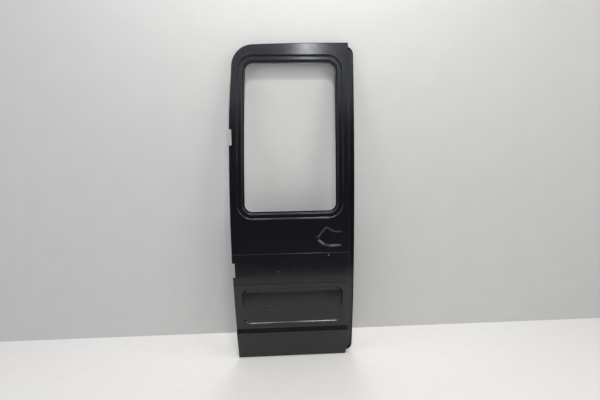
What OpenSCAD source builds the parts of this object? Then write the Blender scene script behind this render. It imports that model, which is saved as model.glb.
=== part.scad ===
// Rear barn door of a campervan, hinge leaf: a bare pressed-steel shell in black primer.
// X runs from the hinge edge to the lapping edge, +Y points into the van and Z is up.
// The origin lies on the lower hinge face, midway between its bolts.

/* [Outline] */
// Height of the outer skin
door_h = 1820; // [1600:10:2000]
// Width of the outer skin where it is widest
skin_w = 672; // [600:1:760]
// Height at which the skin is widest
widest_z = 650; // [600:10:900]
// Radius of the long sweep of the hinge edge
side_r = 20500; // [12000:500:30000]
// Radius of the roof curve along the top edge
roof_r = 14000; // [9000:500:30000]
// Radius of the big corner above the hinge edge
crown_r = 120; // [90:5:150]
// Radius of the small corner at the top of the lock edge
corner_r = 4; // [2:0.5:8]
// Width of the corner cut off at the foot of the lock edge
foot_w = 14; // [10:1:25]
// Height of the corner cut off at the foot of the lock edge
foot_h = 80; // [70:1:100]
// Radius of the side profile above the crease
upper_r = 8100; // [5500:100:12000]
// Radius of the side profile below the crease
lower_r = 4700; // [3500:100:7000]

/* [Sheet] */
// Thickness of the outer skin
skin_t = 1.2; // [0.8:0.1:2]
// Thickness of the inner pressings
inner_t = 1.5; // [1:0.1:2.5]
// Depth from the outside of the skin to the inside face of the door
door_d = 40; // [34:1:50]
// Width of the folded hem round the skin
hem_w = 11; // [8:0.5:15]
// How far the inner frame stands in from the skin edge
frame_inset = 20; // [18:0.5:28]
// How far the inner frame stands in from the lock edge
lock_inset = 12; // [8:0.5:20]
// Gap between sheets that lie beside each other
sheet_gap = 0.3; // [0.1:0.1:0.5]

/* [Window] */
// Distance from the hinge edge to the window opening
win_left = 80; // [70:1:110]
// Distance from the lock edge to the window opening
win_right = 75; // [70:1:110]
// Height of the lower edge of the window opening
win_z0 = 899; // [880:1:960]
// Distance from the top edge of the door to the window opening
win_top = 107; // [100:1:200]
// Corner radius of the window opening
win_r = 42; // [25:1:70]
// Width of skin left between the big corner and the surround
crown_land = 35; // [24:1:36]
// Width of the flat rim round the opening
rim_w = 5; // [4:0.5:10]
// Width of the slope from the rim up to the glass seat
step_w = 11; // [5:0.5:14]
// Width of the flat glass seat
seat_w = 18; // [12:1:22]
// Width of the slope from the glass seat up to the skin
wall_w = 8; // [4:0.5:12]
// Depth of the glass seat below the skin
seat_d = 8; // [5:0.5:12]
// Depth of the rim below the skin
rim_d = 20; // [16:0.5:26]

/* [Swages] */
// Height of the crease below the window
crease_z = 659; // [640:1:680]
// How far the skin steps out below the crease
crease_d = 1.5; // [0.5:0.5:4]
// Height of the crease's own slope
crease_h = 3; // [2:0.5:6]
// Height of the ledge above the lower panel
ledge_z = 517; // [505:1:540]
// How far the skin steps out below the ledge
ledge_d = 3; // [2:0.5:8]
// Height of the ledge's own slope
ledge_h = 5; // [3:0.5:8]
// Height of the fine groove below the ledge
groove_z = 478; // [470:1:490]
// Depth of the fine groove
groove_d = 2.5; // [1:0.5:4]
// Half the height of the fine groove
groove_h = 6; // [4:0.5:8]
// Height of the sloping band above the skirt
band_z = 165; // [120:1:180]
// Height of the sloping band itself
band_h = 28; // [15:1:32]
// How far the skirt stands out below the band
band_d = 5; // [2:0.5:10]
// Lower edge of the recessed panel
panel_z0 = 223; // [215:1:260]
// Upper edge of the recessed panel
panel_z1 = 447; // [380:1:455]
// Distance from the hinge edge to the recessed panel
panel_left = 44; // [30:1:60]
// Distance from the lock edge to the recessed panel
panel_right = 34; // [30:1:60]
// Corner radius of the recessed panel at the skin
panel_r = 42; // [36:1:60]
// Width of the sloping wall round the recessed panel
panel_wall = 17; // [10:1:22]
// Depth of the recessed panel
panel_d = 8; // [5:0.5:10]

/* [Handle recess] */
// Distance from the lock edge to the open end of the recess
grip_inset = 41; // [30:1:70]
// Length of the recess
grip_w = 142; // [110:1:160]
// Height of the middle of the recess
grip_z = 752; // [740:1:765]
// Height of the recess where it is tallest
grip_h = 113; // [90:1:120]
// Radius of the recess's corners
grip_r = 9; // [5:0.5:12]
// Width of the sloping wall round the recess
grip_wall = 8; // [5:0.5:10]
// Depth of the recess at its blunt end
grip_d = 6; // [3:0.5:10]
// Length of the floor that climbs to the open end
grip_ramp = 25; // [15:1:90]

/* [Hinges] */
// Height of the lower hinge
hinge_z0 = 565; // [550:1:590]
// Height of the upper hinge
hinge_z1 = 1313; // [1200:1:1400]
// Height of the notch in the skin at each hinge
notch_h = 86; // [60:1:100]
// How far the notch's edge lies outside the hinge face
notch_land = 3; // [1:0.5:4]
// How far the lower hinge face stands in from the widest line of the skin
hinge_inset = 18; // [16:0.5:20]
// How far the upper hinge face is set in past the lower one
hinge_step = 10; // [4:0.5:12]
// How far the hinge faces stand out past the middle of the frame's depth
hinge_lead = 2; // [0:0.5:4]
// Distance between the two bolts of a hinge
bolt_gap = 46; // [30:1:60]
// Bolt hole diameter in the hinge pads
bolt_hole = 9; // [6:0.5:10]
// Thickness of the hinge pads
pad_t = 4; // [3:0.5:6]
// Width of the hinge pads
pad_w = 22; // [18:0.5:24]
// Height of the hinge pads
pad_h = 118; // [100:1:140]

/* [Lapping flange] */
// How far the flange sticks out past the skin
lap_w = 31; // [15:1:45]
// Depth of the flange floor below the skin
lap_d = 28; // [15:1:30]
// Height of the lip along the flange
lip_h = 8; // [4:0.5:12]
// Distance of the flange's upper end from the top of the skin
lap_top = 14; // [8:1:40]
// Height of the flange's lower end
lap_foot = 4; // [2:1:40]
// Corner radius of the flange's upper end
lap_r = 44; // [20:1:60]
// Corner radius of the flange's lower end
lap_foot_r = 45; // [20:1:60]

/* [Access openings] */
// Height of the lower edge of the lower openings
low_z0 = 150; // [120:1:180]
// Height of the upper edge of the lower openings
low_z1 = 425; // [380:1:445]
// Height of the lower edge of the upper openings
mid_z0 = 535; // [530:1:580]
// Height of the upper edge of the upper openings
mid_z1 = 800; // [760:1:820]
// Width of the inner face beside the openings
stile_w = 66; // [55:1:90]
// Width of the post between two openings
post_w = 60; // [40:1:90]
// Corner radius of the openings
access_r = 30; // [15:1:45]
// Height of the turned edge round the openings
turn_h = 8; // [4:0.5:12]

/* [Holes and beams] */
// Diameter of the small holes through the skin
pin_hole = 7; // [4:0.5:10]
// Distance from the lock edge to the hole under the crease
crease_hole_x = 120; // [100:1:140]
// How far that hole lies below the crease
crease_hole_drop = 15; // [10:1:20]
// Distance from the lock edge to the hole in the middle
middle_hole_x = 410; // [380:1:430]
// Distance from the lock edge to the hole near the hinge
hinge_hole_x = 574; // [560:1:590]
// How far both of these lie above the ledge
ledge_hole_rise = 34; // [28:1:45]
// Depth of the stiffening beams behind the skin
beam_d = 14; // [10:1:18]
// Height of the stiffening beams
beam_h = 36; // [30:1:40]
// Width of a beam's foot on the skin
beam_foot = 9; // [6:0.5:12]
// Gap between a beam's ends and the frame's walls
beam_gap = 6; // [3:0.5:12]
// How far the waist beam lies below the window opening
waist_beam_drop = 74; // [68:1:76]
// How far the lower beam lies below the crease
lower_beam_drop = 61; // [50:1:75]

/* [Hidden] */
black = "#1d1d21";

// Reach of cuts that pass right through the door, and how far other cuts run on
near = -60;
far = 400;
past = 10;
round_fn = 64;
turn_n = 8;
side_n = 10;

edge_x = -hinge_inset;
lock_x = skin_w + edge_x;
frame_x = lock_x - lock_inset;
left_x = edge_x - past;
right_x = lock_x + lap_w + past;
side_c = [edge_x + side_r, widest_z];
roof_c = [lock_x, door_h - roof_r];
win_z1 = door_h - win_top;
seat_g = rim_w + step_w + seat_w;
surround_g = seat_g + wall_w;
hem_d = 2 * skin_t + inner_t;
stile_x0 = edge_x + frame_inset + stile_w;
stile_x1 = frame_x - stile_w;
post_x = (edge_x + frame_inset + frame_x) / 2;
hinge_y = pad_y(hinge_z0);
hinges = [[hinge_z0, 0], [hinge_z1, hinge_step]];

// How far the skin stands out below the crease, the ledge and the band
out_1 = crease_d;
out_2 = out_1 + ledge_d;
out_3 = out_2 + band_d;

// Heights along the side profile, each with how far the pressed steps stand out there
field_z0 = band_z + band_h;
field_z1 = groove_z - groove_h;
bow_steps = concat(
    [for (z = [-4 * past, 0, band_z / 2, band_z]) [z, out_3]],
    [for (i = [0:3]) [field_z0 + (field_z1 - field_z0) * i / 3, out_2]],
    [[groove_z, out_2 - groove_d], [groove_z + groove_h, out_2]],
    [[ledge_z - ledge_h, out_2], [ledge_z, out_1], [(ledge_z + crease_z) / 2, out_1]],
    [[crease_z - crease_h, out_1], [crease_z, 0]],
    [for (i = [1:16]) [crease_z + (door_h + 4 * past - crease_z) * i / 16, 0]]);

function flip(list) = [for (i = [len(list) - 1:-1:0]) list[i]];
function arc(c, r, a0, a1, n) =
    [for (i = [0:n]) let (a = a0 + (a1 - a0) * i / n) c + r * [cos(a), sin(a)]];
function between(p, q, n) = [for (i = [1:n - 1]) p + (q - p) * i / n];
function bearing(from, to) = let (v = to - from) (atan2(v.y, v.x) + 360) % 360;
// Shortest turn from one bearing to another
function turn(a0, a1) = (a1 - a0 + 540) % 360 - 180;
function at(c, r, a) = c + r * [cos(a), sin(a)];

// The side profile is two arcs that meet upright at the crease.
function bow_r(z) = z > crease_z ? upper_r : lower_r;
function bow_a(z) = asin((z - crease_z) / bow_r(z));
// Point of the profile at a height, d below the outside of the skin
function bow_at(z, d) = let (r = bow_r(z), a = bow_a(z))
    [r - (r - d) * cos(a), crease_z + (r - d) * sin(a)];
function bow_y(z) = bow_at(z, 0).x;
function sunk(p, d) = let (q = bow_at(p.y, d)) [p.x, q.x, q.y];
// Depth at which the back of a pressing, or the room inside it, begins
function top_of(t) = t > 0 ? t / 2 : -past;
// How far a slope's back lies beside its front, for a sheet of thickness t
function spread(run, d, t) = t * norm([run, d]) / d;
// Middle of each hinge face across the door
function pad_y(z) = bow_y(z) + door_d / 2 + hinge_lead;

// Point on the hinge edge's sweep, moved in by inset, at a height.
function on_sweep(inset, z) =
    at(side_c, side_r - inset, 180 - asin((z - widest_z) / (side_r - inset)));
// Centre of the big corner, which touches the side sweep and the roof curve.
function crown_c() =
    let (a = side_r - crown_r, b = roof_r - crown_r, d = norm(roof_c - side_c),
        u = (roof_c - side_c) / d, m = (a * a - b * b + d * d) / (2 * d),
        h = sqrt(a * a - m * m))
    side_c + m * u + h * [u.y, -u.x];

// Ring of points: a rectangle with round corners whose hinge side follows the sweep.
function sweep_ring(inset, x1, z0, z1, r, r_top) =
    let (c0 = on_sweep(inset + r, z0 + r), c1 = on_sweep(inset + r_top, z1 - r_top),
        a0 = bearing(side_c, c0), a1 = bearing(side_c, c1),
        c2 = [x1 - r, z1 - r], c3 = [x1 - r, z0 + r])
    concat(
        arc(c0, r, 270, a0, turn_n),
        [for (i = [1:side_n - 1]) at(side_c, side_r - inset, a0 + (a1 - a0) * i / side_n)],
        arc(c1, r_top, a1, 90, turn_n),
        arc(c2, r, 90, 0, turn_n),
        between(c2 + [r, 0], c3 + [r, 0], side_n),
        arc(c3, r, 0, -90, turn_n));

// Edge of the window opening, grown by g all round.
function pane(g) = sweep_ring(win_left - g, lock_x - win_right + g, win_z0 - g, win_z1 + g,
    win_r + g, crown_r - crown_land - surround_g + g);

// Edge of the recessed panel, shrunk by g all round.
function panel(g) = sweep_ring(panel_left + g, lock_x - panel_right - g, panel_z0 + g,
    panel_z1 - g, panel_r - g, panel_r - g);

// The handle recess is an arrow head that points to the hinge side, shrunk by g all round.
function grip(g) =
    let (x1 = lock_x - grip_inset, z = grip_z - grip_h / 2, w = grip_w, h = grip_h)
    rounded(shrunk([[x1, z + 0.03 * h], [x1 - 0.5 * w, z], [x1 - 0.75 * w, z + 0.08 * h],
        [x1 - 0.98 * w, z + 0.32 * h], [x1 - w, z + 0.47 * h], [x1 - 0.65 * w, z + h],
        [x1 - 0.35 * w, z + 0.78 * h], [x1, z + 0.72 * h]], g), grip_r);

// Closed list of points, clockwise, with every edge moved in by g.
function shrunk(ring, g) = let (m = len(ring)) [for (i = [0:m - 1])
    let (p = ring[i], u = p - ring[(i + m - 1) % m], v = ring[(i + 1) % m] - p,
        a = [u.y, -u.x] / norm(u), b = [v.y, -v.x] / norm(v))
    p + (a + b) * g / (1 + a * b)];

// Closed list of points with every corner turned into an arc of radius r.
function rounded(ring, r) = let (m = len(ring)) [for (i = [0:m - 1])
    let (p = ring[i], u = ring[(i + m - 1) % m] - p, v = ring[(i + 1) % m] - p,
        a = u / norm(u), b = v / norm(v), half = acos(a * b) / 2,
        c = p + (a + b) / norm(a + b) * r / sin(half),
        a0 = bearing(c, p + a * r / tan(half)), a1 = bearing(c, p + b * r / tan(half)))
    each arc(c, r, a0, a0 + turn(a0, a1), 4)];

// 2D shapes drawn in the XZ plane are pushed through the door along Y.
module through(y0 = near, y1 = far) {
    translate([0, y1, 0])
        rotate([90, 0, 0])
            linear_extrude(y1 - y0)
                children();
}

// Space between two depths below the skin. A share of 1 follows the pressed steps, 0 the
// plain profile.
module bowed(d0, d1, share0, share1) {
    outer = [for (s = bow_steps) bow_at(s[0], d0 - s[1] * share0)];
    inner = [for (s = bow_steps) bow_at(s[0], d1 - s[1] * share1)];
    translate([left_x, 0, 0])
        rotate([90, 0, 90])
            linear_extrude(right_x - left_x)
                polygon(concat(outer, flip(inner)));
}

// A layer of sheet at depths d0 to d1, cut to the 2D shape given.
module layer(d0, d1, share0 = 1, share1 = 1) {
    intersection() {
        bowed(d0, d1, share0, share1);
        through()
            children();
    }
}

// Solid whose wall slopes from ring0 at depth d0 to ring1 at depth d1, and runs on by some
// depth past both at the same slope.
module sloped(ring0, d0, ring1, d1, on) {
    n = len(ring0);
    k = on / (d1 - d0);
    mean = [for (p = ring1) 1 / n] * ring1;
    top = concat([for (i = [0:n - 1]) ring0[i] + (ring0[i] - ring1[i]) * k], [mean]);
    low = concat([for (i = [0:n - 1]) ring1[i] - (ring0[i] - ring1[i]) * k], [mean]);
    m = n + 1;
    polyhedron(
        concat([for (p = top) sunk(p, d0 - on)], [for (p = low) sunk(p, d1 + on)]),
        [for (i = [0:n - 1]) let (j = (i + 1) % n)
            each [[i, j, n], [m + j, m + i, m + n], [j, i, m + i], [j, m + i, m + j]]]);
}

// Part of a sloped solid down to depth d below the stepped skin. At t = 0 it is the room
// inside a pressing, and at the sheet's thickness it is the back of that pressing.
module dish(d, t) {
    intersection() {
        bowed(top_of(t), d + t, 1, 1);
        children();
    }
}

// Depth of the glass seat round the window.
module seat_dish(t) {
    g = spread(wall_w, seat_d, t);
    dish(seat_d, t)
        sloped(pane(surround_g + g), 0, pane(seat_g + g), seat_d, past);
}

// Second step, from the glass seat down to the rim of the window opening.
module rim_dish(t) {
    g = rim_w + spread(step_w, rim_d - seat_d, t);
    dish(rim_d, t)
        sloped(pane(step_w + g), seat_d, pane(g), rim_d, past);
}

module panel_dish(t) {
    g = spread(panel_wall, panel_d, t);
    dish(panel_d, t)
        sloped(panel(-g), -out_2, panel(panel_wall - g), panel_d - out_2, panel_d / 2);
}

// The floor of the handle recess climbs to the skin at its open end.
module grip_dish(t) {
    g = spread(grip_wall, grip_d, t);
    x1 = lock_x - grip_inset;
    x0 = x1 - grip_w - past;
    intersection() {
        sloped(grip(-g), 0, grip(grip_wall - g), grip_d, grip_d / 2);
        translate([0, bow_y(grip_z), grip_z])
            rotate([-bow_a(grip_z), 0, 0])
                translate([0, 0, -grip_h])
                    linear_extrude(2 * grip_h)
                        polygon([[x0, top_of(t)], [x1, top_of(t)], [x1, t],
                            [x1 - grip_ramp, grip_d + t], [x0, grip_d + t]]);
    }
}

// Outline of the door, moved in by g, and by g_lock on the lock side.
module outline(g, g_lock) {
    x1 = lock_x - g_lock;
    cut = norm([foot_w, foot_h]);
    r = max(corner_r - g, 0.5);
    c = crown_c();
    roof_a = acos((x1 - r - roof_c.x) / (roof_r - g));
    z1 = roof_c.y + (roof_r - g) * sin(roof_a);
    polygon(concat(
        arc(side_c, side_r - g, bearing(side_c, on_sweep(g, g)), bearing(side_c, c), 16),
        arc(c, crown_r - g, bearing(side_c, c), bearing(roof_c, c), turn_n),
        arc(roof_c, roof_r - g, bearing(roof_c, c), roof_a, 6),
        arc([x1 - r, z1 - r], r, 90, 0, 3),
        [[x1, foot_h + (g * cut - g_lock * foot_h) / foot_w],
         [lock_x - (g * cut + (foot_h - g) * foot_w) / foot_h, g]]));
}

// A plain rounded rectangle from corner to corner.
module round_rect(x0, z0, x1, z1, r) {
    polygon(concat(
        arc([x0 + r, z0 + r], r, 270, 180, turn_n),
        arc([x0 + r, z1 - r], r, 180, 90, turn_n),
        arc([x1 - r, z1 - r], r, 90, 0, turn_n),
        arc([x1 - r, z0 + r], r, 0, -90, turn_n)));
}

module at_hinge() {
    translate([0, -hinge_y, -hinge_z0])
        children();
}

// The skin is pressed in one hit: the backs of all pressings are added to the flat sheet,
// and then the room inside each is taken out.
module outer_skin() {
    color(black)
        at_hinge()
            difference() {
                union() {
                    layer(0, skin_t)
                        outline(0, 0);
                    hem();
                    seat_dish(skin_t);
                    rim_dish(skin_t);
                    panel_dish(skin_t);
                    grip_dish(skin_t);
                }
                seat_dish(0);
                rim_dish(0);
                panel_dish(0);
                grip_dish(0);
                through()
                    polygon(pane(0));
                notches();
                skin_holes();
            }
}

// The skin edge is folded flat over the flange of the inner frame.
module hem() {
    layer(0, hem_d)
        difference() {
            outline(0, 0);
            outline(skin_t, skin_t);
        }
    layer(skin_t + inner_t, hem_d)
        difference() {
            outline(0, 0);
            outline(hem_w, hem_w);
        }
}

// Notches through the skin and its hem where the hinge arms pass.
module notches() {
    for (h = hinges)
        translate([left_x, near, h[0] - notch_h / 2])
            cube([h[1] - notch_land - left_x, far, notch_h]);
}

module skin_holes() {
    ledge_row = ledge_z + ledge_hole_rise;
    for (p = [[crease_hole_x, crease_z - crease_hole_drop], [middle_hole_x, ledge_row],
        [hinge_hole_x, ledge_row]])
        translate([lock_x - p.x, near, p.y])
            rotate([-90, 0, 0])
                cylinder(d = pin_hole, h = far, $fn = round_fn);
}

// Whole inner pressing, from which each rail and pillar takes its stretch: a shallow tray
// with a flange on the skin, a wall round the window and turned edges round the openings.
module inner_pressing() {
    mid_t = inner_t / 2;
    wall_g = rim_w + sheet_gap;
    difference() {
        union() {
            difference() {
                union() {
                    layer(skin_t, skin_t + inner_t)
                        outline(skin_t + sheet_gap, skin_t + sheet_gap);
                    layer(skin_t + mid_t, door_d, 1, 0)
                        outline(frame_inset, lock_inset);
                }
                layer(-past, door_d - inner_t, 1, 0)
                    outline(frame_inset + inner_t, lock_inset + inner_t);
            }
            layer(rim_d + skin_t, door_d - mid_t, 1, 0)
                polygon(pane(wall_g + inner_t));
            layer(door_d - turn_h, door_d - mid_t, 0, 0)
                access_openings(-inner_t);
        }
        layer(rim_d + skin_t + inner_t, door_d + past, 1, 0)
            polygon(pane(wall_g));
        through()
            polygon(pane(0));
        through()
            access_openings(0);
        notches();
        pad_pockets();
    }
}

module access_openings(g) {
    for (z = [[low_z0, low_z1], [mid_z0, mid_z1]]) {
        round_rect(stile_x0 + g, z[0] + g, post_x - post_w / 2 - g, z[1] - g, access_r - g);
        round_rect(post_x + post_w / 2 + g, z[0] + g, stile_x1 - g, z[1] - g, access_r - g);
    }
}

// Pockets in the wall of the hinge stile for the pads, which stand a little proud of it.
module pad_pockets() {
    for (h = hinges)
        translate([h[1] - pad_t / 2, pad_y(h[0]) - pad_w / 2, h[0] - pad_h / 2])
            cube([2 * pad_t, pad_w, pad_h]);
}

// Takes the part of the inner pressing inside a rectangle of the XZ plane.
module stretch(x0, z0, x1, z1) {
    color(black)
        at_hinge()
            intersection() {
                inner_pressing();
                translate([x0, near, z0])
                    cube([x1 - x0, far, z1 - z0]);
            }
}

// The rails reach round the corners of the openings, and the uprights join them.
module inner_header() { stretch(left_x, win_z1 - win_r, right_x, door_h + past); }
module hinge_pillar() { stretch(left_x, win_z0 + win_r, post_x, win_z1 - win_r); }
module lock_pillar() { stretch(post_x, win_z0 + win_r, right_x, win_z1 - win_r); }
module waist_rail() { stretch(left_x, mid_z1 - access_r, right_x, win_z0 + win_r); }
module hinge_stile_upper() { stile(left_x, post_x - post_w, mid_z0, mid_z1); }
module centre_post_upper() { stile(post_x - post_w, post_x + post_w, mid_z0, mid_z1); }
module lock_stile_upper() { stile(post_x + post_w, right_x, mid_z0, mid_z1); }
module mid_rail() { stretch(left_x, low_z1 - access_r, right_x, mid_z0 + access_r); }
module hinge_stile_lower() { stile(left_x, post_x - post_w, low_z0, low_z1); }
module centre_post_lower() { stile(post_x - post_w, post_x + post_w, low_z0, low_z1); }
module lock_stile_lower() { stile(post_x + post_w, right_x, low_z0, low_z1); }
module bottom_rail() { stretch(left_x, -past, right_x, low_z0 + access_r); }
module stile(x0, x1, z0, z1) { stretch(x0, z0 + access_r, x1, z1 - access_r); }

// Outline of the lapping flange with its two round corners, moved in by g.
module lap_shape(g) {
    x1 = lock_x + lap_w;
    top = door_h - lap_top;
    hidden_x = frame_x - lap_foot_r - lap_r;
    intersection() {
        polygon(concat(
            [[hidden_x, lap_foot + g], [hidden_x, top - g]],
            arc([x1 - lap_r, top - lap_r], lap_r - g, 90, 0, turn_n),
            arc([x1 - lap_foot_r, lap_foot + lap_foot_r], lap_foot_r - g, 0, -90, turn_n)));
        translate([frame_x, 0])
            square([2 * lap_w + lock_inset, door_h]);
    }
}

// Channel that the other leaf laps over, with a lip along its edge.
module lapping_flange() {
    color(black)
        at_hinge()
            union() {
                layer(lap_d, lap_d + inner_t, 0, 0)
                    lap_shape(0);
                layer(hem_d + sheet_gap, lap_d + inner_t, 1, 0)
                    intersection() {
                        lap_shape(0);
                        translate([frame_x, 0])
                            square([inner_t, door_h]);
                    }
                layer(lap_d - lip_h, lap_d + inner_t, 0, 0)
                    difference() {
                        lap_shape(0);
                        lap_shape(inner_t);
                    }
            }
}

// Flat plate let into the wall of the hinge stile, with two bolt holes.
module hinge_pad(z, x) {
    color(black)
        translate([x, pad_y(z) - hinge_y, z - hinge_z0])
            difference() {
                translate([0, -pad_w / 2, -pad_h / 2])
                    cube([pad_t, pad_w, pad_h]);
                for (s = [-1, 1])
                    translate([-past, 0, s * bolt_gap / 2])
                        rotate([0, 90, 0])
                            cylinder(d = bolt_hole, h = pad_t + 2 * past, $fn = round_fn);
            }
}

// Weld nuts on the back of a hinge pad.
module hinge_nuts(z, x) {
    color(black)
        for (s = [-1, 1])
            translate([x + pad_t, pad_y(z) - hinge_y, z - hinge_z0 + s * bolt_gap / 2])
                rotate([0, 90, 0])
                    difference() {
                        cylinder(d = 2 * bolt_hole, h = bolt_hole, $fn = 6);
                        translate([0, 0, -past])
                            cylinder(d = bolt_hole, h = bolt_hole + 2 * past, $fn = round_fn);
                    }
}

module upper_hinge_pad() { hinge_pad(hinge_z1, hinge_step); }
module lower_hinge_pad() { hinge_pad(hinge_z0, 0); }
module upper_hinge_nuts() { hinge_nuts(hinge_z1, hinge_step); }
module lower_hinge_nuts() { hinge_nuts(hinge_z0, 0); }

// Top-hat beam bonded to the back of the skin, from one wall of the frame to the other.
module beam(z) {
    x0 = edge_x + frame_inset + inner_t + beam_gap;
    x1 = frame_x - inner_t - beam_gap;
    web = beam_h / 2 - beam_foot;
    color(black)
        at_hinge()
            difference() {
                union() {
                    layer(skin_t, skin_t + inner_t)
                        strip(x0, x1, z, beam_h / 2);
                    layer(skin_t, skin_t + beam_d)
                        strip(x0, x1, z, web + inner_t);
                }
                layer(-past, skin_t + beam_d - inner_t)
                    strip(x0 - past, x1 + past, z, web);
            }
}

// Flat strip along the door at a height, half as high as h.
module strip(x0, x1, z, h) {
    translate([x0, z - h])
        square([x1 - x0, 2 * h]);
}

module waist_beam() { beam(win_z0 - waist_beam_drop); }
module lower_beam() { beam(crease_z - lower_beam_drop); }

outer_skin();
inner_header();
hinge_pillar();
lock_pillar();
waist_rail();
hinge_stile_upper();
centre_post_upper();
lock_stile_upper();
mid_rail();
hinge_stile_lower();
centre_post_lower();
lock_stile_lower();
bottom_rail();
lapping_flange();
upper_hinge_pad();
lower_hinge_pad();
upper_hinge_nuts();
lower_hinge_nuts();
waist_beam();
lower_beam();
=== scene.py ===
import math

import bmesh
import bpy
from mathutils import Matrix, Vector


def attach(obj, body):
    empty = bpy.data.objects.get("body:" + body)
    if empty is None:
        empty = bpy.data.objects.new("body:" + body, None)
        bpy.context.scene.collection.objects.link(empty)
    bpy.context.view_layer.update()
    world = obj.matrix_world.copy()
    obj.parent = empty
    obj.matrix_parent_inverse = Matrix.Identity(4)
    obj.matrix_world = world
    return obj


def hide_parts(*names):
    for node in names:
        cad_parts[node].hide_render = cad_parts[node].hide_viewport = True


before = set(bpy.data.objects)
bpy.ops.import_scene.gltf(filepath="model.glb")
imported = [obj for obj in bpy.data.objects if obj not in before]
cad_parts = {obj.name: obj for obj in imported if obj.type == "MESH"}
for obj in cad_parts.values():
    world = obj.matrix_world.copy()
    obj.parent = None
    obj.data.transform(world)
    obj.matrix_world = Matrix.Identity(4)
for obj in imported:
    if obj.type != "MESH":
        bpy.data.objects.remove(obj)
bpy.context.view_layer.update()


# Black electro-coat
# The bare shell is dipped in cathodic epoxy primer and baked. It dries to a thin semi-gloss
# black with a faint orange peel, follows every small wave of the sheet, and gathers pale dust
# on whatever faces up.
def linear(code):
    """An sRGB hex colour as linear RGBA."""
    parts = [int(code[i:i + 2], 16) / 255 for i in (1, 3, 5)]
    return [c / 12.92 if c <= 0.04045 else ((c + 0.055) / 1.055) ** 2.4 for c in parts] + [1]


def add_node(tree, kind, settings=None, links=None):
    """A shader node with its settings, and links from (node, output) to its inputs. A key that
    names an input sets its value, and any other key sets a property."""
    node = tree.nodes.new(kind)
    for key, value in (settings or {}).items():
        if isinstance(key, str) and hasattr(node, key):
            setattr(node, key, value)
        else:
            node.inputs[key].default_value = value
    for key, (source, output) in (links or {}).items():
        tree.links.new(source.outputs[output], node.inputs[key])
    return node


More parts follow.
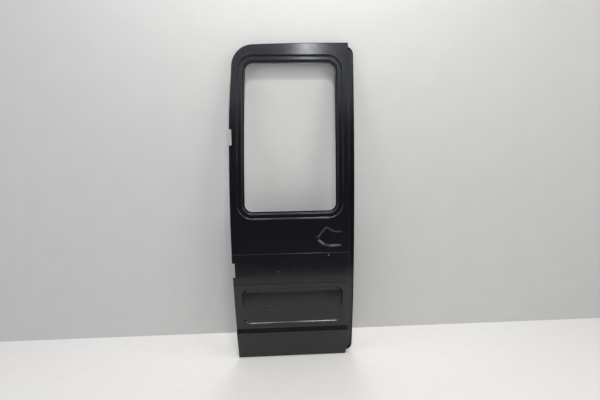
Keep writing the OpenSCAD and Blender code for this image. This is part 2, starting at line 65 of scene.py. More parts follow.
def electro_coat(name, light, dark, rough, dust, marks=()):
    """Baked black primer: two near blacks in soft clouds, roughness and dust in patches. A mark
    has its place (x, z), its half width and half height, its colour and its strength."""
    material = bpy.data.materials.new(name)
    material.use_nodes = True
    tree = material.node_tree
    tree.nodes.clear()
    place = add_node(tree, "ShaderNodeTexCoord")
    # Clouds about 300 mm across, where the film is a little thinner or thicker
    clouds = add_node(tree, "ShaderNodeTexNoise", {"Scale": 1 / 0.3, "Detail": 4.0},
                      {"Vector": (place, "Object")})
    film = add_node(tree, "ShaderNodeMix", {"data_type": "RGBA", 6: linear(dark),
                                            7: linear(light)}, {0: (clouds, 0)})
    # Dust lies on faces that look up, in specks of about 6 mm
    facing = add_node(tree, "ShaderNodeNewGeometry")
    upward = add_node(tree, "ShaderNodeSeparateXYZ", None, {0: (facing, "Normal")})
    ledge = add_node(tree, "ShaderNodeMapRange", {"From Min": 0.25, "From Max": 0.95,
                                                  "To Max": dust}, {0: (upward, 2)})
    specks = add_node(tree, "ShaderNodeTexNoise", {"Scale": 1 / 0.006, "Detail": 3.0},
                      {"Vector": (place, "Object")})
    patch = add_node(tree, "ShaderNodeMapRange", {"From Min": 0.35, "From Max": 0.65,
                                                  "To Min": 0.4}, {0: (specks, 0)})
    cover = add_node(tree, "ShaderNodeMath", {"operation": "MULTIPLY"},
                     {0: (ledge, 0), 1: (patch, 0)})
    colour = add_node(tree, "ShaderNodeMix", {"data_type": "RGBA", 7: linear("#77736b")},
                      {0: (cover, 0), 6: (film, 2)})
    # Marks are dull, those in the paint and the spots of painted shade alike
    marked = add_node(tree, "ShaderNodeValue")
    for x, z, wide, high, code, strength in marks:
        offset = add_node(tree, "ShaderNodeVectorMath", {"operation": "SUBTRACT", 1: (x, 0, z)},
                          {0: (place, "Object")})
        spread = add_node(tree, "ShaderNodeVectorMath", {"operation": "MULTIPLY",
                                                         1: (1 / wide, 0, 1 / high)},
                          {0: (offset, 0)})
        reach = add_node(tree, "ShaderNodeVectorMath", {"operation": "LENGTH"},
                         {0: (spread, 0)})
        spot = add_node(tree, "ShaderNodeMapRange", {"From Min": 1.0, "From Max": 0.5,
                                                     "To Max": strength},
                        {0: (reach, "Value")})
        colour = add_node(tree, "ShaderNodeMix", {"data_type": "RGBA", 7: linear(code)},
                          {0: (spot, 0), 6: (colour, 2)})
        marked = add_node(tree, "ShaderNodeMath", {"operation": "MAXIMUM"},
                          {0: (marked, 0), 1: (spot, 0)})
    shine = add_node(tree, "ShaderNodeMapRange", {"To Min": 0.5, "To Max": 0.05},
                     {0: (marked, 0)})
    # Rubbed and hazed patches about 40 mm across
    haze = add_node(tree, "ShaderNodeTexNoise", {"Scale": 1 / 0.04, "Detail": 5.0},
                    {"Vector": (place, "Object")})
    gloss = add_node(tree, "ShaderNodeMapRange", {"From Min": 0.3, "From Max": 0.7,
                                                  "To Min": rough - 0.03,
                                                  "To Max": rough + 0.04}, {0: (haze, 0)})
    # Waves of the pressed sheet, 170 mm long, drawn 0.6 mm high so that they bend reflections
    waves = add_node(tree, "ShaderNodeTexNoise", {"Scale": 1 / 0.17, "Detail": 1.0},
                     {"Vector": (place, "Object")})
    sheet = add_node(tree, "ShaderNodeBump", {"Strength": 1.0, "Distance": 0.0006},
                     {"Height": (waves, 0)})
    # Orange peel is about 1 mm long; it is drawn at 2.5 mm to show at all
    peel = add_node(tree, "ShaderNodeTexNoise", {"Scale": 1 / 0.0025, "Detail": 2.0},
                    {"Vector": (place, "Object")})
    skin = add_node(tree, "ShaderNodeBump", {"Strength": 0.05, "Distance": 0.0002},
                    {"Height": (peel, 0), "Normal": (sheet, 0)})
    paint = add_node(tree, "ShaderNodeBsdfPrincipled", {"IOR": 1.54},
                     {"Base Color": (colour, 2), "Roughness": (gloss, 0),
                      "Specular IOR Level": (shine, 0), "Normal": (skin, 0)})
    add_node(tree, "ShaderNodeOutputMaterial", None, {0: (paint, 0)})
    return material


# Outer skin
# One pressing of 0.8 mm steel: the bowed outer panel with its sunk window surround, handle
# recess, crease, ledge and lower panel. Its edge is folded flat over the inner frame.

# Sizes in millimetres from the foot of the door and from the lower hinge face, as in the CAD
DOOR_H, SKIN_W, WIDEST_Z = 1820, 672, 650
SIDE_R, ROOF_R, CROWN_R, CORNER_R = 20500, 14000, 122, 4
FOOT_W, FOOT_H = 14, 80
UPPER_R, LOWER_R = 8100, 4700
EDGE_X = -18
LOCK_X = EDGE_X + SKIN_W
SKIN_T, INNER_T, DOOR_D, HEM_W = 1.2, 1.5, 40, 11
HEM_D = 2 * SKIN_T + INNER_T
CREASE_Z, LEDGE_Z, GROOVE_Z, BAND_Z, BAND_H = 659, 517, 478, 165, 28
# How far the skin steps out below the crease and the band, and in at the ledge and the groove
CREASE_OUT, LEDGE_IN, GROOVE_IN, BAND_OUT = 1.5, 5.5, 2.5, 13.5
PANEL_LEFT, PANEL_RIGHT, PANEL_Z0, PANEL_Z1, PANEL_R = 44, 34, 223, 447, 42
HINGES = [(565, 0), (1313, 10)]
NOTCH_H, NOTCH_LAND = 86, 3
HINGE_Z = 565
SIDE_C = (EDGE_X + SIDE_R, WIDEST_Z)
ROOF_C = (LOCK_X, DOOR_H - ROOF_R)
WIN_LEFT, WIN_RIGHT, WIN_Z0, WIN_Z1, WIN_R = 80, 75, 899, DOOR_H - 107, 42


def side_x(inset, z):
    """The hinge edge's long sweep, moved in by inset, at a height."""
    return SIDE_C[0] - math.sqrt((SIDE_R - inset) ** 2 - (z - WIDEST_Z) ** 2)


def smooth(t):
    t = min(max(t, 0), 1)
    return t * t * (3 - 2 * t)


def bearing(start, end):
    return math.atan2(end[1] - start[1], end[0] - start[0])


def arc(centre, r, a0, a1, n):
    return [(centre[0] + r * math.cos(a0 + (a1 - a0) * i / n),
             centre[1] + r * math.sin(a0 + (a1 - a0) * i / n)) for i in range(n + 1)]


def crown_centre():
    """Centre of the big corner, which touches the side sweep and the roof curve."""
    a, b = SIDE_R - CROWN_R, ROOF_R - CROWN_R
    step = Vector(ROOF_C) - Vector(SIDE_C)
    d = step.length
    u = step / d
    m = (a * a - b * b + d * d) / (2 * d)
    h = math.sqrt(a * a - m * m)
    return Vector(SIDE_C) + m * u + h * Vector((u.y, -u.x))


def door_edge(g, g_lock=None, notched=True):
    """The door's outline moved in by g, with a step in at each hinge notch."""
    g_lock = g if g_lock is None else g_lock
    x1 = LOCK_X - g_lock
    r = max(CORNER_R - g, 0.5)
    centre = crown_centre()
    ring = []
    stops = [g, 130, 262, 393]
    for z, shift in HINGES:
        low, high = z - NOTCH_H / 2, z + NOTCH_H / 2
        ring += [(side_x(g, s), s) for s in stops + [low]]
        if notched:
            ring += [(max(shift - NOTCH_LAND, side_x(g, s)), s) for s in (low, high)]
        stops = [high] + ([high + (WIDEST_Z + 600 - high) * i / 6 for i in range(1, 6)]
                          if z == HINGES[0][0] else [])
    a0 = bearing(SIDE_C, centre) % (2 * math.pi)
    ring += [(side_x(g, s), s) for s in (stops[0], 1450, 1550, 1640)]
    ring += arc(centre, CROWN_R - g, a0, bearing(ROOF_C, centre), 20)
    roof_a = math.acos((x1 - r - ROOF_C[0]) / (ROOF_R - g))
    ring += arc(ROOF_C, ROOF_R - g, bearing(ROOF_C, centre), roof_a, 16)[1:]
    top = ROOF_C[1] + (ROOF_R - g) * math.sin(roof_a)
    ring += arc((x1 - r, top - r), r, math.pi / 2, 0, 4)[1:]
    cut = math.hypot(FOOT_W, FOOT_H)
    foot = [(x1, FOOT_H + (g * cut - g_lock * FOOT_H) / FOOT_W),
            (LOCK_X - (g * cut + (FOOT_H - g) * FOOT_W) / FOOT_H, g)]
    ring += [(x1, top - r + (foot[0][1] - top + r) * i / 12) for i in range(1, 12)] + foot
    ring += [(foot[1][0] + (ring[0][0] - foot[1][0]) * i / 12, g) for i in range(1, 12)]
    # Below the crown the hinge edge leans in by up to 7 mm more than the sweep does
    return [(x + 7 * smooth((z - 1430) / 260) * smooth((200 - x) / 180), z) for x, z in ring]


def sweep_ring(inset, x1, z0, z1, r, r_top):
    """A round-cornered ring whose hinge side follows the long sweep."""
    c0 = (side_x(inset + r, z0 + r), z0 + r)
    c1 = (side_x(inset + r_top, z1 - r_top), z1 - r_top)
    a0 = bearing(SIDE_C, c0) % (2 * math.pi)
    a1 = bearing(SIDE_C, c1) % (2 * math.pi)
    c2, c3 = (x1 - r, z1 - r), (x1 - r, z0 + r)
    return (arc(c0, r, 1.5 * math.pi, a0, 12) + arc(SIDE_C, SIDE_R - inset, a0, a1, 12)[1:-1]
            + arc(c1, r_top, a1, math.pi / 2, 12)
            + [(c1[0] + (c2[0] - c1[0]) * i / 8, z1) for i in range(1, 8)]
            + arc(c2, r, math.pi / 2, 0, 12)
            + [(x1, c2[1] + (c3[1] - c2[1]) * i / 12) for i in range(1, 12)]
            + arc(c3, r, 0, -math.pi / 2, 12)
            + [(c3[0] + (c0[0] - c3[0]) * i / 8, z0) for i in range(1, 8)])


def pane(g):
    """Edge of the window opening, grown by g."""
    return sweep_ring(WIN_LEFT - g, LOCK_X - WIN_RIGHT + g, WIN_Z0 - g, WIN_Z1 + g,
                      WIN_R + g, 43 + g)


def lower_panel(g):
    """Edge of the sunk panel below the groove, shrunk by g and least at its foot."""
    return sweep_ring(PANEL_LEFT + g, LOCK_X - PANEL_RIGHT - g, PANEL_Z0 + 0.3 * g,
                      PANEL_Z1 - g, PANEL_R - g, PANEL_R - g)


def panel_depth(z):
    """The panel's floor stands more upright than the skin round it: 7 mm deep at its foot and
    28 mm at its top, where its back meets the frame's turned edges, and steeper in its upper
    half."""
    t = min(max((z - PANEL_Z0 - 4) / 190, 0), 1)
    return 7 + 164 * (0.09 * t + (0.05 * t * t if t < 0.5 else 0.05 * t - 0.0125))


def fillet(points, r, n=4, closed=False):
    """A line of points with its corners rounded by radius r."""
    out = [] if closed else [points[0]]
    count = len(points)
    for i in range(count) if closed else range(1, count - 1):
        p = Vector(points[i])
        u, v = Vector(points[i - 1]) - p, Vector(points[(i + 1) % count]) - p
        half = u.angle(v) / 2
        if math.pi / 2 - half < 0.02:
            out.append(tuple(p))
            continue
        run = min(r / math.tan(half), 0.48 * u.length, 0.48 * v.length)
        real = run * math.tan(half)
        centre = p + (u.normalized() + v.normalized()).normalized() * real / math.sin(half)
        s, e = p + u.normalized() * run, p + v.normalized() * run
        a0, a1 = bearing(centre, s), bearing(centre, e)
        turn = (a1 - a0 + math.pi) % (2 * math.pi) - math.pi
        out += arc(centre, real, a0, a0 + turn, n)
    return out if closed else out + [points[-1]]


# The handle recess, from the lock edge and the foot, its depth, and where its floor climbs
GRIP = [(-41, 698.9), (-112, 695.5), (-147.5, 704.5), (-180.2, 731.7), (-183, 748.6),
        (-133.3, 808.5), (-90.7, 783.6), (-41, 776.9)]
GRIP_D, GRIP_END, GRIP_RAMP = 9, LOCK_X - 37, 26


def handle_recess(g):
    """Edge of the handle recess, an arrow head that points to the hinge side, shrunk by g."""
    moved = []
    for i, p in enumerate(GRIP):
        p = Vector((p[0] + LOCK_X, p[1]))
        u = p - Vector((GRIP[i - 1][0] + LOCK_X, GRIP[i - 1][1]))
        q = GRIP[(i + 1) % len(GRIP)]
        v = Vector((q[0] + LOCK_X, q[1])) - p
        a = Vector((u.y, -u.x)).normalized()
        b = Vector((v.y, -v.x)).normalized()
        moved.append(tuple(p + (a + b) * g / (1 + a.dot(b))))
    ring = fillet(moved, 10, 5, closed=True)
    # Long sides get points in between, so that the floor can climb along them
    out = []
    for i, p in enumerate(ring):
        q = ring[(i + 1) % len(ring)]
        out += [(p[0] + (q[0] - p[0]) * k / 4, p[1] + (q[1] - p[1]) * k / 4) for k in range(4)]
    return out


def draw_loop(bm, ring, d):
    """A closed loop of edges at one depth."""
    dots = [bm.verts.new((x, d, z)) for x, z in ring]
    return [bm.edges.new((dots[i - 1], dots[i])) for i in range(len(dots))]


def fill_between(bm, loops):
    bmesh.ops.triangle_fill(bm, use_beauty=True, use_dissolve=False,
                            edges=[e for loop in loops for e in loop])


def wall_strip(bm, rings, closed=True):
    """A strip of sheet that runs through rings of (x, z) points, each with its depth. It is a
    grid bent round, whose ends are merged later where the strip is closed."""
    rows = [[(x, d(x, z) if callable(d) else d, z) for x, z in ring] for ring, d in rings]
    if closed:
        rows = [row + row[:1] for row in rows]
    wide, deep = len(rows[0]), len(rows)
    made = bmesh.ops.create_grid(bm, x_segments=wide - 1, y_segments=deep - 1, size=1)["verts"]
    for v in made:
        i = round((v.co.x + 1) / 2 * (wide - 1))
        j = round((v.co.y + 1) / 2 * (deep - 1))
        v.co = rows[j][i]
    return made


def ramp(t):
    """A straight rise from 0 to 1 with short soft ends."""
    t = min(max(t, 0), 1)
    return 1 - ramp(1 - t) if t > 0.5 else t * t / 0.32 if t < 0.2 else (t - 0.1) / 0.8


def stand_out(z):
    """How far the pressed steps below the crease stand out from the plain profile."""
    out = CREASE_OUT * smooth((CREASE_Z - z) / 2.5) - LEDGE_IN * smooth((LEDGE_Z - z) / 5)
    out += BAND_OUT * ramp((BAND_Z + BAND_H - z) / BAND_H)
    return out - GROOVE_IN * (1 - smooth(abs(z - GROOVE_Z) / 4.5))


def bow(z, d):
    """The side profile: two arcs that meet upright at the crease, d below the outside."""
    r = UPPER_R if z > CREASE_Z else LOWER_R
    return r - math.sqrt((r - d) ** 2 - (z - CREASE_Z) ** 2)


HINGE_Y = bow(HINGE_Z, 0) + DOOR_D / 2 + 2
LEVELS = sorted(set(
    [i * 14 for i in range(1, 130)]
    + [CREASE_Z - 4 + 0.5 * i for i in range(11)] + [LEDGE_Z - 6 + 0.5 * i for i in range(15)]
    + [GROOVE_Z - 8 + i for i in range(17)] + [BAND_Z - 2 + 2 * i for i in range(17)]))


def cut_levels(bm, levels, axis=2):
    """Cuts the flat sheet across at each level, so that it can bend."""
    for s in levels:
        point, normal = [0, 0, 0], [0, 0, 0]
        point[axis], normal[axis] = s, 1
        bmesh.ops.bisect_plane(bm, geom=bm.verts[:] + bm.edges[:] + bm.faces[:], dist=1e-4,
                               plane_co=point, plane_no=normal)


def put_on_door(bm, share):
    """Bends the flat sheet onto the side profile, in metres from the lower hinge face."""
    for v in bm.verts:
        x, d, z = v.co
        y = bow(z, d - share(d) * stand_out(z))
        v.co = (x / 1000, (y - HINGE_Y) / 1000, (z - HINGE_Z) / 1000)


def face_way(bm, sign):
    """Makes all normals agree, with the flat of the sheet facing along Y by sign."""
    bmesh.ops.remove_doubles(bm, verts=bm.verts, dist=0.005)
    bmesh.ops.recalc_face_normals(bm, faces=bm.faces)
    if sum(f.normal.y * f.calc_area() for f in bm.faces) * sign < 0:
        bmesh.ops.reverse_faces(bm, faces=bm.faces)


def finish_piece(bm, name, nodes, material, thickness=0):
    """Turns a bmesh into an object that rides on the door and stands for CAD nodes."""
    mesh = bpy.data.meshes.new(name)
    if thickness:
        bmesh.ops.solidify(bm, geom=bm.faces[:], thickness=thickness / 1000)
    for f in bm.faces:
        f.smooth = True
    for e in bm.edges:
        e.smooth = e.calc_face_angle(0) < math.radians(38)
    bm.to_mesh(mesh)
    bm.free()
    mesh.materials.append(material)
    piece = bpy.data.objects.new(name, mesh)
    bpy.context.scene.collection.objects.link(piece)
    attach(piece, "root")
    if nodes:
        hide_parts(*nodes)
    return piece


# A hooked scratch by the lock edge, a darker oval patch under the crease, a scrape on the crown
# and two pale scuffs in the lower panel
skin_marks = [(0.634, 0.654, 0.004, 0.009, "#0a0708", 0.8),
              (0.443, 0.004, 0.013, 0.018, "#0d0d12", 0.35),
              (0.085, 1.203, 0.009, 0.0025, "#070709", 0.8),
              (0.185, -0.235, 0.010, 0.003, "#6a6a6e", 0.5),
              (0.187, -0.262, 0.010, 0.003, "#6a6a6e", 0.35)]
skin_black = electro_coat("electro-coated skin", "#15151a", "#0f0f14", 0.20, 0.06, skin_marks)

skin = bmesh.new()
window_steps = fillet([(46, 0), (40, 0), (35.5, 8), (14, 8), (8.5, 20), (0, 20)], 3.5)
panel_steps = fillet([(-6, 0), (0, 0), (14, 10), (30, 10)], 6, 5)
grip_steps = fillet([(-8, 0), (-4, 0), (8, GRIP_D), (14, GRIP_D)], 4, 4)


def grip_floor(depth):
    """The floor of the recess climbs to the skin over its last 26 mm."""
    return lambda x, z: min(depth, GRIP_D * smooth((GRIP_END - x) / GRIP_RAMP))


holes = [(LOCK_X - 120, CREASE_Z - 15), (LOCK_X - 410, LEDGE_Z + 34),
         (LOCK_X - 574, LEDGE_Z + 34)]
loops = [draw_loop(skin, door_edge(2), 0), draw_loop(skin, pane(46), 0),
         draw_loop(skin, lower_panel(-6), 0), draw_loop(skin, handle_recess(-8), 0)]
loops += [draw_loop(skin, arc(h, 3.5, 0, 2 * math.pi, 20)[:-1], 0) for h in holes]
fill_between(skin, loops)
fill_between(skin, [draw_loop(skin, lower_panel(30), 10)])
wall_strip(skin, [(pane(g), d) for g, d in window_steps])
wall_strip(skin, [(lower_panel(g), d) for g, d in panel_steps])
wall_strip(skin, [(handle_recess(g), grip_floor(d)) for g, d in grip_steps])
fill_between(skin, [draw_loop(skin, handle_recess(14), GRIP_D)])
cut_levels(skin, [GRIP_END - 28 + 2 * i for i in range(14)], 0)
for v in skin.verts:
    if abs(v.co.y - GRIP_D) < 1e-6 and 680 < v.co.z < 825 and v.co.x > LOCK_X - 190:
        v.co.y = grip_floor(GRIP_D)(v.co.x, v.co.z)
    if v.co.y > 0 and v.co.z < GROOVE_Z:
        v.co.y *= panel_depth(v.co.z) / 10
bmesh.ops.remove_doubles(skin, verts=skin.verts, dist=0.01)
hem = [(2, 0), (1.24, 0.15), (0.57, 0.57), (0.15, 1.24), (0, HEM_D / 2), (0.15, 2.66),
       (0.57, 3.33), (1.24, 3.75), (2, HEM_D), (HEM_W, HEM_D)]
wall_strip(skin, [(door_edge(g), d) for g, d in hem])
cut_levels(skin, LEVELS)
face_way(skin, -1)
put_on_door(skin, lambda d: 1)
finish_piece(skin, "outer_skin_pressing", ["outer_skin"], skin_black, SKIN_T)


# Inner pressing
# The frame behind the skin: a shallow tray of 1 mm steel with a flange spot-welded under the
# skin's hem, a wall round the window and turned edges round the four access openings.
# It is cut here where the CAD model's header, pillars, rails, stiles and posts meet.
FRAME_INSET, LOCK_INSET = 20, 12
FRAME_X = LOCK_X - LOCK_INSET
ACCESS = [(68, 292, 150, 425), (352, 576, 150, 425), (68, 292, 535, 800), (352, 576, 535, 800)]
POST_X = 322
ACCESS_R, TURN_H = 30, 8
inner_black = electro_coat("electro-coated inner pressing", "#18191d", "#101014", 0.28, 0.15)


def access_ring(x0, x1, z0, z1, g):
    """Edge of an access opening, grown by g."""
    r = ACCESS_R + g
    x0, x1, z0, z1 = x0 - g, x1 + g, z0 - g, z1 + g
    corners = [((x0 + r, z0 + r), 1.5, 1.0), ((x0 + r, z1 - r), 1.0, 0.5),
               ((x1 - r, z1 - r), 0.5, 0.0), ((x1 - r, z0 + r), 0.0, -0.5)]
    return [p for c, a, b in corners for p in arc(c, r, a * math.pi, b * math.pi, 8)]


inner = bmesh.new()
tray_steps = fillet([(28, DOOR_D), (20, DOOR_D), (20, 2.7), (1.5, 2.7)], 5)
window_wall = fillet([(14, DOOR_D), (5.3, DOOR_D), (5.3, 22.7), (0.2, 22.7)], 4)
turned = fillet([(5, DOOR_D), (0, DOOR_D), (0, DOOR_D - TURN_H)], 3.5)
tray_flat = draw_loop(inner, door_edge(28, 20, notched=False), DOOR_D)
fill_between(inner, [tray_flat, draw_loop(inner, pane(14), DOOR_D)]
             + [draw_loop(inner, access_ring(*a, 5), DOOR_D) for a in ACCESS])
for a in ACCESS:
    wall_strip(inner, [(access_ring(*a, g), d) for g, d in turned])
wall_strip(inner, [(pane(g), d) for g, d in window_wall])
wall_strip(inner, [(door_edge(g, g - 8, notched=False), d) for g, d in tray_steps
                   if g >= FRAME_INSET])
flange_steps = [(g, d) for g, d in tray_steps if g <= FRAME_INSET and d < 10]
wall_strip(inner, [(door_edge(g, max(LOCK_INSET - (FRAME_INSET - g) * 10.5 / 18.5, 1.5),
                              notched=False), d) for g, d in flange_steps])
cut_levels(inner, LEVELS + [z + s * NOTCH_H / 2 for z, _ in HINGES for s in (-1, 1)])
bmesh.ops.remove_doubles(inner, verts=inner.verts, dist=0.01)
# The flange is notched with the skin at each hinge
for z, shift in HINGES:
    cut = [f for f in inner.faces if abs(f.calc_center_median().z - z) < NOTCH_H / 2
           and f.calc_center_median().x < shift - NOTCH_LAND and f.calc_center_median().y < 4]
    bmesh.ops.delete(inner, geom=cut, context="FACES")
face_way(inner, 1)
put_on_door(inner, lambda d: min(max((DOOR_D - d) / 36, 0), 1))
bmesh.ops.solidify(inner, geom=inner.faces[:], thickness=INNER_T / 1000)
FAR = 3000
STRETCHES = {
    "inner_header": (-FAR, WIN_Z1 - WIN_R, FAR, FAR),
    "hinge_pillar": (-FAR, WIN_Z0 + WIN_R, POST_X, WIN_Z1 - WIN_R),
    "lock_pillar": (POST_X, WIN_Z0 + WIN_R, FAR, WIN_Z1 - WIN_R),
    "waist_rail": (-FAR, 800 - ACCESS_R, FAR, WIN_Z0 + WIN_R),
    "hinge_stile_upper": (-FAR, 565, POST_X - 60, 770),
    "centre_post_upper": (POST_X - 60, 565, POST_X + 60, 770),
    "lock_stile_upper": (POST_X + 60, 565, FAR, 770),
    "mid_rail": (-FAR, 425 - ACCESS_R, FAR, 565),
    "hinge_stile_lower": (-FAR, 180, POST_X - 60, 395),
    "centre_post_lower": (POST_X - 60, 180, POST_X + 60, 395),
    "lock_stile_lower": (POST_X + 60, 180, FAR, 395),
    "bottom_rail": (-FAR, -FAR, FAR, 180)}
for node, (x0, z0, x1, z1) in STRETCHES.items():
    part = inner.copy()
    for point, normal in [((x0, z0), (1, 0)), ((x0, z0), (0, 1)), ((x1, z1), (-1, 0)),
                          ((x1, z1), (0, -1))]:
        bmesh.ops.bisect_plane(
            part, geom=part.verts[:] + part.edges[:] + part.faces[:], clear_inner=True,
            plane_co=(point[0] / 1000, 0, (point[1] - HINGE_Z) / 1000),
            plane_no=(normal[0], 0, normal[1]))
    finish_piece(part, node + "_pressing", [node], inner_black)
inner.free()


# Lapping flange
# A channel of 1 mm steel welded to the lock side of the frame. It stands out past the skin,
# so that the seal of the other leaf closes on it, and its edge is turned up into a lip. Two
# spots near its foot are painted near black: painted shade for two small holes, dark with
# shade behind them.
LAP_W, LAP_D, LIP_H = 31, 28, 8
LAP_TOP, LAP_FOOT, LAP_R, LAP_FOOT_R = DOOR_H - 14, 4, 44, 45
LAP_HIGH, LAP_LOW = 1740, 80


def lap_ring(g):
    """The flange's outline moved in by g: its free edge, then up along the root."""
    x0, x1 = FRAME_X + g, LOCK_X + LAP_W
    top, foot = (x1 - LAP_R, LAP_TOP - LAP_R), (x1 - LAP_FOOT_R, LAP_FOOT + LAP_FOOT_R)
    a0 = math.acos((x0 - top[0]) / (LAP_R - g))
    a1 = math.acos((x0 - foot[0]) / (LAP_FOOT_R - g))
    ring = arc(top, LAP_R - g, a0, 0, 12)
    ring += [(x1 - g, LAP_HIGH - i * (LAP_HIGH - LAP_LOW) / 24) for i in range(25)]
    return ring + arc(foot, LAP_FOOT_R - g, 0, -a1, 12)


def lap_wall(depth):
    """The wall stands up to the lip's height, and at the root to the skin's hem."""
    return lambda x, z: depth if depth > 21 or x > FRAME_X + 5 else 4.2


# The two marks near the foot are painted shade for small holes, dark with shade behind them
lap_black = electro_coat("electro-coated flange", "#15151a", "#0f0f13", 0.22, 0.08,
                         [(0.673, -0.491, 0.005, 0.009, "#050506", 1.0),
                          (0.674, -0.378, 0.004, 0.005, "#050506", 0.9)])
flange = bmesh.new()
fill_between(flange, [draw_loop(flange, lap_ring(8), LAP_D)])
wall_strip(flange, [(lap_ring(g), lap_wall(d)) for g, d in fillet(
    [(8, LAP_D), (1.6, LAP_D), (1.6, LAP_D - LIP_H)], 3)])
cut_levels(flange, LEVELS)
face_way(flange, -1)
put_on_door(flange, lambda d: 0 if d > 19 else (19 - d) / 15)
finish_piece(flange, "lapping_flange_pressing", ["lapping_flange"], lap_black, INNER_T)


# Hinge pads, weld nuts and stiffening beams
# Thick pads let into the hinge stile with nuts welded behind them, and two top-hat beams that
# are bonded to the back of the skin. All of them went through the same primer bath.
for node in ("upper_hinge_pad", "lower_hinge_pad", "upper_hinge_nuts", "lower_hinge_nuts",
             "waist_beam", "lower_beam"):
    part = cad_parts[node]
    part.data.materials.clear()
    part.data.materials.append(inner_black)


# Floor, wall and screen
# A plain pale floor at the foot of the door, and a plain pale wall that the door leans on: here
# the door stands upright and the wall tips towards its top. A dark sheet on the floor in front
# and dark screens are painted shade for the unlit part of the room, and only the paint mirrors
# them.
def plain_surface(name, code, rough, grain):
    """Pale screed or plaster with a soft mottle, grain is its size in metres."""
    material = bpy.data.materials.new(name)
    material.use_nodes = True
    tree = material.node_tree
    tree.nodes.clear()
    place = add_node(tree, "ShaderNodeTexCoord")
    mottle = add_node(tree, "ShaderNodeTexNoise", {"Scale": 1 / grain, "Detail": 6.0},
                      {"Vector": (place, "Object")})
    tone = [c * 0.93 for c in linear(code)[:3]] + [1]
    colour = add_node(tree, "ShaderNodeMix", {"data_type": "RGBA", 6: tone, 7: linear(code)},
                      {0: (mottle, 0)})
    matt = add_node(tree, "ShaderNodeBsdfPrincipled", {"Roughness": rough},
                    {"Base Color": (colour, 2)})
    return material, tree, matt


floor_finish, tree, matt = plain_surface("pale screed", "#dddbd5", 0.8, 0.05)
add_node(tree, "ShaderNodeOutputMaterial", None, {0: (matt, 0)})
wall_finish, tree, matt = plain_surface("pale plaster", "#cbcbc8", 0.85, 0.12)
# The wall is seen from its front alone, so that the door's back can be looked at too
side = add_node(tree, "ShaderNodeNewGeometry")
clear = add_node(tree, "ShaderNodeBsdfTransparent")
one_sided = add_node(tree, "ShaderNodeMixShader", None,
                     {0: (side, "Backfacing"), 1: (matt, 0), 2: (clear, 0)})
add_node(tree, "ShaderNodeOutputMaterial", None, {0: (one_sided, 0)})
screen_finish, tree, matt = plain_surface("dark screen", "#33343a", 0.9, 0.3)
add_node(tree, "ShaderNodeOutputMaterial", None, {0: (matt, 0)})

FLOOR_Z = -HINGE_Z / 1000 - 0.001


def stage_sheet(name, wide, deep, foot, turn, material, heading=0):
    """A flat sheet that starts at its foot line, is turned up about it by an angle, and then
    turned to a heading round the door."""
    bm = bmesh.new()
    bmesh.ops.create_grid(bm, x_segments=1, y_segments=1, size=0.5)
    bmesh.ops.transform(
        bm, verts=bm.verts, matrix=Matrix.Translation((0.3, 0, 0))
        @ Matrix.Rotation(math.radians(heading), 4, "Z") @ Matrix.Translation(foot)
        @ Matrix.Rotation(math.radians(turn), 4, "X") @ Matrix.Diagonal((wide, deep, 1, 1))
        @ Matrix.Translation((0, 0.5, 0)))
    mesh = bpy.data.meshes.new(name)
    bm.to_mesh(mesh)
    bm.free()
    mesh.materials.append(material)
    sheet = bpy.data.objects.new(name, mesh)
    bpy.context.scene.collection.objects.link(sheet)
    return sheet


stage_sheet("floor", 14, 14, (0, -7, FLOOR_Z), 0, floor_finish)
wall = stage_sheet("back_wall", 6, 2.4, (0, 0.285, FLOOR_Z), 95.6, wall_finish)
wall.visible_shadow = False
wall.visible_diffuse = False
# The dark floor sheet and the screens are painted shade for the unlit floor and room in front of
# the door
for name, deep, foot, turn, heading in (
        ("front_floor_shade", 5.2, (0, -6.3, FLOOR_Z + 0.002), 0, 0),
        ("front_screen", 3.8, (0, -6.3, FLOOR_Z), 90, 0),
        ("left_screen", 3.2, (0, -6.3, FLOOR_Z), 90, -90),
        ("right_screen", 3.2, (0, -6.3, FLOOR_Z), 90, 90)):
    screen = stage_sheet(name, 12.6, deep, foot, turn, screen_finish, heading)
    screen.visible_camera = False
    screen.visible_shadow = False
    screen.visible_diffuse = False


# Light
# Even soft light all round, fills on both sides and behind, and ceiling lamps. The paint mirrors
# the narrow strip as the bright patch on the upper rail, and the two overhead lamps in bends
# that face up. The ceiling light, kept out of reflections, throws the door's shadow on the wall.
world = bpy.data.worlds.new("soft light")
bpy.context.scene.world = world
world.use_nodes = True
tree = world.node_tree
tree.nodes.clear()
light = add_node(tree, "ShaderNodeBackground", {"Color": linear("#f2f5ff"), "Strength": 0.62})
pale = add_node(tree, "ShaderNodeBackground", {"Color": linear("#dfe4ec"), "Strength": 1.0})
path = add_node(tree, "ShaderNodeLightPath")
mirrored = add_node(tree, "ShaderNodeMath", {"operation": "ADD", "use_clamp": True},
                    {0: (path, "Is Glossy Ray"), 1: (path, "Is Transmission Ray")})
background = add_node(tree, "ShaderNodeMath", {"operation": "ADD", "use_clamp": True},
                      {0: (path, "Is Camera Ray"), 1: (mirrored, 0)})
seen = add_node(tree, "ShaderNodeMixShader", None, {0: (background, 0), 1: (light, 0),
                                                    2: (pale, 0)})
add_node(tree, "ShaderNodeOutputWorld", None, {0: (seen, 0)})


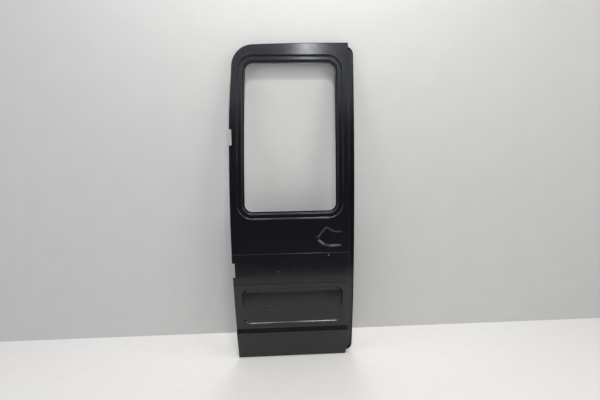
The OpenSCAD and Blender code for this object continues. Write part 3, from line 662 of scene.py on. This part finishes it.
def soft_lamp(name, place, aim, wide, high, power, code):
    lamp = bpy.data.lights.new(name, "AREA")
    lamp.shape = "RECTANGLE"
    lamp.size, lamp.size_y = wide, high
    lamp.energy = power
    lamp.color = linear(code)[:3]
    holder = bpy.data.objects.new(name, lamp)
    holder.location = place
    holder.rotation_euler = (Vector(aim) - Vector(place)).to_track_quat("-Z", "Y").to_euler()
    bpy.context.scene.collection.objects.link(holder)
    return holder


soft_lamp("overhead_left", (-0.25, -0.35, 2.9), (0.2, 0, 0.3), 0.5, 0.5, 14, "#eef3ff")
soft_lamp("overhead_right", (0.85, -0.35, 2.9), (0.4, 0, 0.3), 0.6, 0.5, 18, "#fffaf2")
soft_lamp("bright_strip", (0.57, -1.6, 2.45), (0.41, 0, 1.2), 0.14, 0.6, 6.5, "#f4f8ff")
ceiling = soft_lamp("ceiling_light", (0.4, -1.25, 2.75), (0.3, 0, 0.5), 0.4, 0.25, 27, "#fffaf2")
ceiling.visible_glossy = False
soft_lamp("right_softbox", (2.9, -2.3, 1.6), (0.3, 0, 0.3), 1.6, 1.6, 22, "#fffaf2")
soft_lamp("left_fill", (-2.6, -2.2, 1.2), (0.3, 0, 0.2), 1.6, 1.6, 14, "#eaf0ff")
soft_lamp("back_fill", (0.6, 3.2, 1.8), (0.3, 0, 0.3), 1.8, 1.8, 40, "#fffaf2")


# Camera
# It stands where the photo was taken: a little above the middle of the door, 1.66 m away and
# tipped down by 8 degrees, with the angle of view of a phone's main lens.
pitch, yaw, roll = (math.radians(a) for a in (8.09, 2.50, -0.855))
ahead = Vector((math.sin(yaw) * math.cos(pitch), math.cos(yaw) * math.cos(pitch),
                -math.sin(pitch)))
level = Vector((math.cos(yaw), -math.sin(yaw), 0))
upright = level.cross(ahead)
right = math.cos(roll) * level + math.sin(roll) * upright
top = math.cos(roll) * upright - math.sin(roll) * level
lens = bpy.data.cameras.new("camera")
lens.sensor_fit = "HORIZONTAL"
lens.sensor_width = 36
lens.lens = 18
lens.clip_start = 0.01
camera = bpy.data.objects.new("camera", lens)
camera.matrix_world = Matrix.Translation(
    (0.302, (-1651 - HINGE_Y) / 1000, (1200 - HINGE_Z) / 1000)) @ Matrix(
        (right, top, -ahead)).transposed().to_4x4()
bpy.context.scene.collection.objects.link(camera)
bpy.context.scene.camera = camera
bpy.context.scene.view_settings.view_transform = "Standard"
